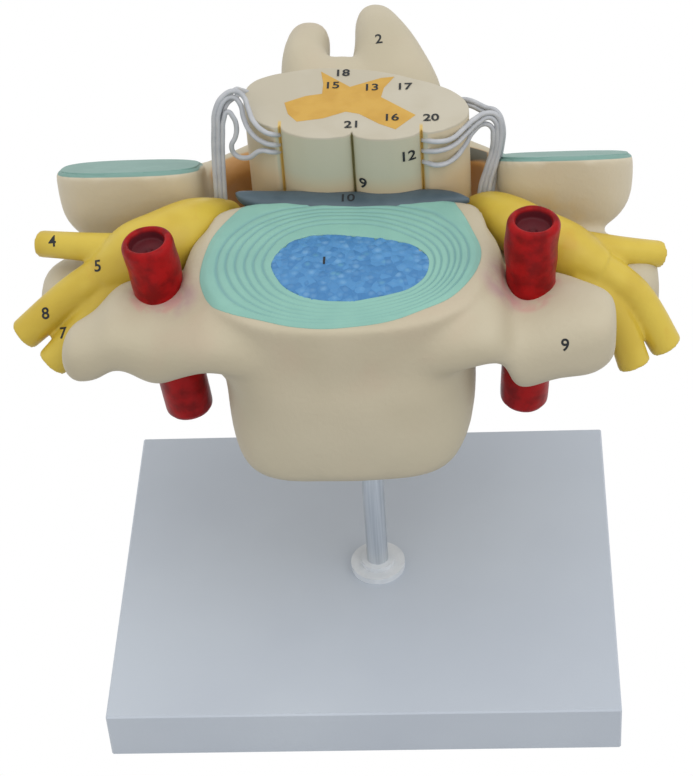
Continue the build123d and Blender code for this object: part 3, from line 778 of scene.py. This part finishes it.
def discCore():
    cx, cy = coreForm["centre"]
    sides = coreForm["sides"]
    edge = polarLine(coreEdge, (cx, cy), sides)
    ripples = ((1.7, 9, 3.0), (1.2, 21, 5.0))  # ragged outline: height, how many, and where in the noise
    rows = []
    for row in range(coreForm["rows"] + 1):
        share = 1 - row / (coreForm["rows"] + 0.5)
        ring = []
        for step, reach in enumerate(edge):
            turn = 2 * math.pi * step / sides
            c, s = math.cos(turn), math.sin(turn)
            ripple = [high * noise.noise(Vector((c * many, s * many, at))) for high, many, at in ripples]
            far = (reach + coreForm["overlap"] + sum(ripple)) * share
            x, y = cx + c * far, cy + s * far
            near = noise.voronoi(Vector((x, y, 0)) / coreForm["granule"])[0][0]
            bumps = coreForm["granuleHigh"] * (0.5 - near) * smoothStep(1 - share, 0, 0.06)
            z = discTop - coreForm["sunk"] + coreForm["dome"] * (1 - share ** 4) + bumps
            ring.append(Vector((x, y, z)))
        rows.append(ring)
    foot = discTop - coreForm["skirt"]
    rows += [[Vector((cx, cy, foot))] * sides, [Vector((p.x, p.y, foot)) for p in rows[0]]]
    return gridForm("discCore", rows)


placePiece(discRings(), discEnamel, ["disc_annulus"])
core = discCore()
placePiece(core, nucleusGrain, ["disc_nucleus"])
print("disc done")


# Slate strip between the disc and the cord, drawn out to thin ends

slateSpots = [
    (-55.5, 67.2, 217.2, 0.7, 1), (-53, 66, 216.4, 3, 2.6), (-47, 64.8, 215.3, 5, 3.8),
    (-38, 63.4, 214.8, 6.2, 4.3), (-20, 61.8, 214.6, 7.2, 4.5), (0, 60, 214.6, 7.6, 4.5),
    (20, 60, 214.6, 7.6, 4.5), (38, 61, 214.7, 6.6, 4.4), (47, 61.2, 215, 4.8, 3.8), (53, 60, 215.6, 3, 2.8),
    (57.5, 58.6, 216.4, 0.8, 1)]
slateStrip = shadeSmooth(skinForm("slateStrip", [xRing(*spot) for spot in slateSpots]))
placePiece(slateStrip, slate, ["posterior_ligament"])
print("slate strip done")


# Cord: a flattened column with three clefts in front, its cut face crisp, and the ochre inlay

cordForm = {"foot": 150, "edge": 0.7, "cleftCorners": (16, 22, 28), "inlayDeep": 2, "inlayProud": 0.15,
            "inlayEdge": 0.12, "crisp": 35}
cordSpots = [
    (-50.9, 104), (-47.5, 113), (-40, 118.3), (-30, 121.3), (-16.6, 123.6), (0.3, 122.4), (17.5, 118.4),
    (31.3, 112.4), (44, 105.7), (52.5, 98.5), (57.2, 90.5), (58.2, 83.5), (56, 76.8), (49.2, 70.6),
    (42.6, 67.6), (37.2, 67.2), (35.5, 69.6), (34, 66.6), (27, 63.2), (16.6, 62.2), (8.5, 63.6), (4, 66.2),
    (2.6, 69.4), (1.2, 67), (-5.5, 65), (-15.2, 65), (-23.9, 67.6), (-30.4, 72.2), (-32, 76), (-33.8, 74.4),
    (-38.1, 76.2), (-43.1, 79.6), (-47.3, 85.6), (-50.3, 94.5)]
inlaySpots = [
    (-13.9, 120.4), (0.7, 106.4), (15.7, 113.2), (22.2, 114), (17.2, 104.6), (16, 96.9), (32.8, 81.1),
    (23.4, 69.8), (15.5, 74.7), (5.7, 83.4), (-0.8, 85.6), (-11.5, 80.6), (-24, 78.5), (-28.6, 85.2),
    (-30.7, 94.6), (-20.6, 99.7), (-12.7, 101.2), (-12.4, 109.7)]


def cutSlab(name, spots, low, high, edge, corners):
    line = bpy.data.curves.new(name, 'CURVE')
    line.dimensions = '2D'
    line.fill_mode = 'BOTH'
    line.extrude = (high - low) / 2 * mm - edge * mm
    line.bevel_depth = edge * mm
    line.bevel_resolution = 3
    line.offset = -edge * mm
    line.resolution_u = 6
    loop = line.splines.new('BEZIER')
    loop.use_cyclic_u = True
    loop.bezier_points.add(len(spots) - 1)
    for index, (knot, (x, y)) in enumerate(zip(loop.bezier_points, spots)):
        knot.co = (x * mm, y * mm, 0)
        knot.handle_left_type = knot.handle_right_type = 'VECTOR' if index in corners else 'AUTO'
    slab = newPiece(name, line)
    slab.location = (0, 0, (low + high) / 2 * mm)
    slab = asMesh(slab)
    bpy.ops.object.transform_apply(location=True, rotation=True, scale=True)
    return shadeSmooth(slab, cordForm["crisp"])


cord = cutSlab("cordBlock", cordSpots, cordForm["foot"], cordTop, cordForm["edge"], cordForm["cleftCorners"])
placePiece(cord, cordResin, ["spinal_cord"])
inlay = cutSlab("inlay", inlaySpots, cordTop - cordForm["inlayDeep"], cordTop + cordForm["inlayProud"],
                cordForm["inlayEdge"], range(len(inlaySpots)))
placePiece(inlay, greyInlay, ["grey_matter"])
print("cord done")


# Arteries: dipped tubes with a rolled lip, a swell under it and a shallow hole
# The profile's first five pairs are heights over the foot, the others down from the top.

arteryForm = {
    "sides": 72, "foot": (81.5, 10, 129.5), -1: (-92, 10, 235), 1: (87, 10, 241), "fromFoot": 5,
    "swellDown": 15, "swellLong": 7, "swellOut": 0.8, "waveSize": 12, "waveDepth": 0.4,
    "paintDown": (0.7, 2.2), "boreHalf": 9.4, "paintAbove": (60, 70),
    "profile": [(0, 6.5), (1.2, 9.2), (3.6, 11), (8, 11.7), (40, 11.7), (-36, 11.7), (-29, 11.7), (-22, 12.2),
                (-15, 12.4), (-8, 12.3), (-3, 12.3), (-1.2, 11.8), (-0.25, 11.0), (0.0, 10.1), (-0.3, 9.2),
                (-1.4, 8.5), (-4.4, 8.2), (-5.4, 7.4), (-5.8, 4.6), (-6.2, 2.2), (-7.0, 1.2)]}


def arteryTube(side):
    footX, footY, footZ = arteryForm["foot"]
    foot, top = Vector((side * footX, footY, footZ)), Vector(arteryForm[side])
    along = (top - foot).normalized()
    across = Vector((0, 1, 0)).cross(along).normalized()
    deep = along.cross(across)
    length = (top - foot).length
    rings = []
    for index, (up, radius) in enumerate(arteryForm["profile"]):
        up = up if index < arteryForm["fromFoot"] else length + up
        swell = math.exp(-((length - up - arteryForm["swellDown"]) / arteryForm["swellLong"]) ** 2)
        centre = foot + along * up - across * side * (arteryForm["swellOut"] * swell)
        rings.append(ovalRing(centre, across, deep, radius, radius, 2, sides=arteryForm["sides"]))
    tube = skinForm("artery", rings, 4)
    roughen(tube, arteryForm["waveSize"], arteryForm["waveDepth"], side * 4.0)
    applyModifier(tube, 'SMOOTH', factor=0.5, iterations=2)
    hole = tube.data.attributes.new("hole", 'FLOAT', 'POINT')
    marks = []
    for vert in tube.data.vertices:  # dark brown inside the lip, deeper down
        arm = vert.co / mm - foot
        up = arm.dot(along)
        out = (arm - along * up).length
        inside = smoothStep(arteryForm["boreHalf"] - out, 0, 0.8) * smoothStep(up, *arteryForm["paintAbove"])
        marks.append(smoothStep(length - up, *arteryForm["paintDown"]) * inside)
    hole.data.foreach_set("value", marks)
    return shadeSmooth(tube)


placePiece(arteryTube(-1), arteryGloss, ["vertebral_artery_left"])
placePiece(arteryTube(1), arteryGloss, ["vertebral_artery_right"])
print("arteries done")


# Cartilage: thin enamelled pads over the whole of each joint facet

padForm = {"halfDeep": 25.5, "thick": 1.2, "proud": 0.25, "corner": 2.7, "sides": 72, "crisp": 40}


def facetPad(side):
    facet = facets[side]
    lean = math.radians(facet["slope"])
    normal = Vector((0, math.sin(lean), math.cos(lean)))
    across, deep = Vector((1, 0, 0)), Vector((0, math.cos(lean), -math.sin(lean)))
    wide, proud = facet["padWide"], padForm["proud"]
    rings = []
    for up, less in ((-padForm["thick"], 0), (0.0, 0), (proud * 0.8, 0.4), (proud, 1.2)):
        centre = Vector((side * facet["x"], facets["y"], bodyTop)) + normal * up
        halves = wide - less, padForm["halfDeep"] - less
        rings.append(ovalRing(centre, across, deep, *halves, padForm["corner"], sides=padForm["sides"]))
    return shadeSmooth(skinForm("facetPad", rings, 2), padForm["crisp"])


placePiece(facetPad(-1), cartilageGreen, ["facet_cartilage_left"])
placePiece(facetPad(1), cartilageGreen, ["facet_cartilage_right"])
print("pads done")


# Index numbers, stamped by hand in black ink
# A number on the cord is lifted more than the others, because the inlay stands a little above its face.

inkForm = {"tall": 5.8, "fontShare": 1.35, "cuts": 2, "lift": 0.14, "cordLift": 0.3, "bold": 0.14,
           "reach": 40}
topDown = (Vector((1, 0, 0)), Vector((0, 1, 0)))  # the way the number lies: its right and its up
frontOn = (Vector((1, 0, 0)), Vector((0, 0, 1)))
slanted = (Vector((1, 0.08, 0)).normalized(), Vector((-0.05, 0.66, 0.75)).normalized())
inkMarks = {
    "cord_plastic": (cord, [("18", (-3.5, 118.2, cordTop), topDown), ("15", (-8.1, 107.7, cordTop), topDown),
                            ("17", (27, 104.9, cordTop), topDown), ("13", (11, 105, cordTop), topDown),
                            ("16", (21.1, 79.2, cordTop), topDown), ("20", (40.2, 78.2, cordTop), topDown),
                            ("21", (2.6, 74.4, cordTop), topDown), ("12", (28.9, 64, 239.5), frontOn),
                            ("9", (6.7, 64, 224), frontOn)]),
    "ligament_plastic": (slateStrip, [("10", (-1.2, 59.3, 218), topDown)]),
    "disc_core": (core, [("1", (-10.4, 11.3, 219), topDown)]),
    "bone_plastic": (vertebra, [("2", (11, 200, 215), slanted), ("9", (100.2, -28, 197.5), slanted)]),
    "nerve_plastic": (leftNerve, [("4", (-144.2, 46, 208), slanted), ("5", (-121, 40, 195.5), slanted),
                                  ("8", (-148, 26, 179), slanted), ("7", (-140, 20, 171.5), slanted)]),
}


def inkNumber(text, spot, lie, tree, lift):
    bpy.ops.object.select_all(action='DESELECT')
    bpy.ops.object.text_add()
    mark = bpy.context.object
    mark.data.body = text
    mark.data.size = inkForm["tall"] * inkForm["fontShare"] * mm
    mark.data.align_x, mark.data.align_y = 'CENTER', 'CENTER'
    mark.data.offset = inkForm["bold"] * mm
    mark = asMesh(mark)
    bpy.ops.object.mode_set(mode='EDIT')
    bpy.ops.mesh.select_all(action='SELECT')
    bpy.ops.mesh.quads_convert_to_tris()
    bpy.ops.mesh.subdivide(number_cuts=inkForm["cuts"])
    bpy.ops.object.mode_set(mode='OBJECT')
    right, up = lie
    out = right.cross(up)
    reach = out * inkForm["reach"] * mm
    for vert in mark.data.vertices:  # laid on the surface under it
        flat = Vector(spot) * mm + right * vert.co.x + up * vert.co.y
        hit = tree.ray_cast(flat + reach, -out, 2 * reach.length)[0]
        vert.co = (hit if hit else flat) + out * lift * mm
    return mark


for slot, (carrier, numbers) in inkMarks.items():
    tree = BVHTree.FromObject(carrier, bpy.context.evaluated_depsgraph_get())
    lift = inkForm["cordLift" if carrier == cord else "lift"]
    marks = [inkNumber(text, spot, lie, tree, lift) for text, spot, lie in numbers]
    placePiece(joinForms("numbers_" + slot, marks), inkBlack)
print("numbers done")


# CAD nodes that keep their shape

for node, material in (("base_board", boardPaint), ("support_rod", rodPlate), ("rod_collar", collarPlastic)):
    giveMaterial(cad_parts[node], material)
print("stand done")


# Floor, light and camera

studio = {"skyStrength": 0.9, "floor": "#B6B6B6", "floorSize": 8, "aim": (0, 0.05, 0.15),
          "keyLight": ((-0.1, -0.35, 1.9), 1.8, 4),  # place, size and power
          "fillLight": ((0.9, -0.5, 1.3), 1.2, 4)}


def paleFloor():
    bpy.ops.object.select_all(action='DESELECT')
    bpy.ops.mesh.primitive_plane_add(size=studio["floorSize"], location=(0, 0, 0))
    floor = bpy.context.object
    floor.name = "studioFloor"
    material = bpy.data.materials.new("white paper sweep")
    material.use_nodes = True
    tree = material.node_tree
    shader = tree.nodes["Principled BSDF"]
    shader.inputs["Base Color"].default_value = linearColour(studio["floor"])
    shader.inputs["Roughness"].default_value = 0.9
    white = addNode(material, "Emission", {"Color": "#FFFFFF", "Strength": 1.0})
    rays = addNode(material, "LightPath", {}, "Is Camera Ray")
    seen = addNode(material, "Math", {0: rays, 1: rays.node.outputs["Is Glossy Ray"]}, operation='MAXIMUM')
    mix = addNode(material, "MixShader", {0: seen, 1: shader.outputs[0], 2: white})
    tree.links.new(mix, tree.nodes["Material Output"].inputs["Surface"])
    giveMaterial(floor, material)


def studioLight(name):
    spot, size, power = studio[name]
    lamp = bpy.data.lights.new(name, 'AREA')
    lamp.size = size
    lamp.energy = power
    holder = newPiece(name, lamp)
    holder.location = spot
    holder.rotation_euler = (Vector(studio["aim"]) - Vector(spot)).to_track_quat('-Z', 'Y').to_euler()


def studioSky():
    world = bpy.data.worlds.new("studioSky")
    bpy.context.scene.world = world
    world.use_nodes = True
    tree = world.node_tree
    back = tree.nodes["Background"]
    back.inputs["Color"].default_value = linearColour("#FFFFFF")
    back.inputs["Strength"].default_value = studio["skyStrength"]
    white = addNode(world, "Background", {"Color": "#FFFFFF", "Strength": 1.0})
    seen = addNode(world, "LightPath", {}, "Is Camera Ray")
    mix = addNode(world, "MixShader", {0: seen, 1: back.outputs[0], 2: white})
    tree.links.new(mix, tree.nodes["World Output"].inputs["Surface"])


photoCamera = {"place": (64.51, -848.87, 899.84), "yaw": -4.584, "pitch": 41.367, "roll": -4.343,
               "lens": 109.55, "sensor": 36}


def photoView():
    yaw, pitch, roll = [math.radians(photoCamera[key]) for key in ("yaw", "pitch", "roll")]
    ahead = Vector((math.sin(yaw) * math.cos(pitch), math.cos(yaw) * math.cos(pitch), -math.sin(pitch)))
    right = Vector((math.cos(yaw), -math.sin(yaw), 0))
    up = right.cross(ahead)
    tiltedRight = right * math.cos(roll) + up * math.sin(roll)
    tiltedUp = up * math.cos(roll) - right * math.sin(roll)
    lens = bpy.data.cameras.new("photoCamera")
    lens.sensor_fit = 'AUTO'
    lens.sensor_width = photoCamera["sensor"]
    lens.lens = photoCamera["lens"]
    camera = newPiece("photoCamera", lens)
    turned = Matrix((tiltedRight, tiltedUp, -ahead)).transposed().to_4x4()
    camera.matrix_world = Matrix.Translation(Vector(photoCamera["place"]) * mm) @ turned
    bpy.context.scene.camera = camera


paleFloor()
studioSky()
studioLight("keyLight")
studioLight("fillLight")
photoView()
bpy.context.scene.view_settings.view_transform = 'Standard'
print("studio done")
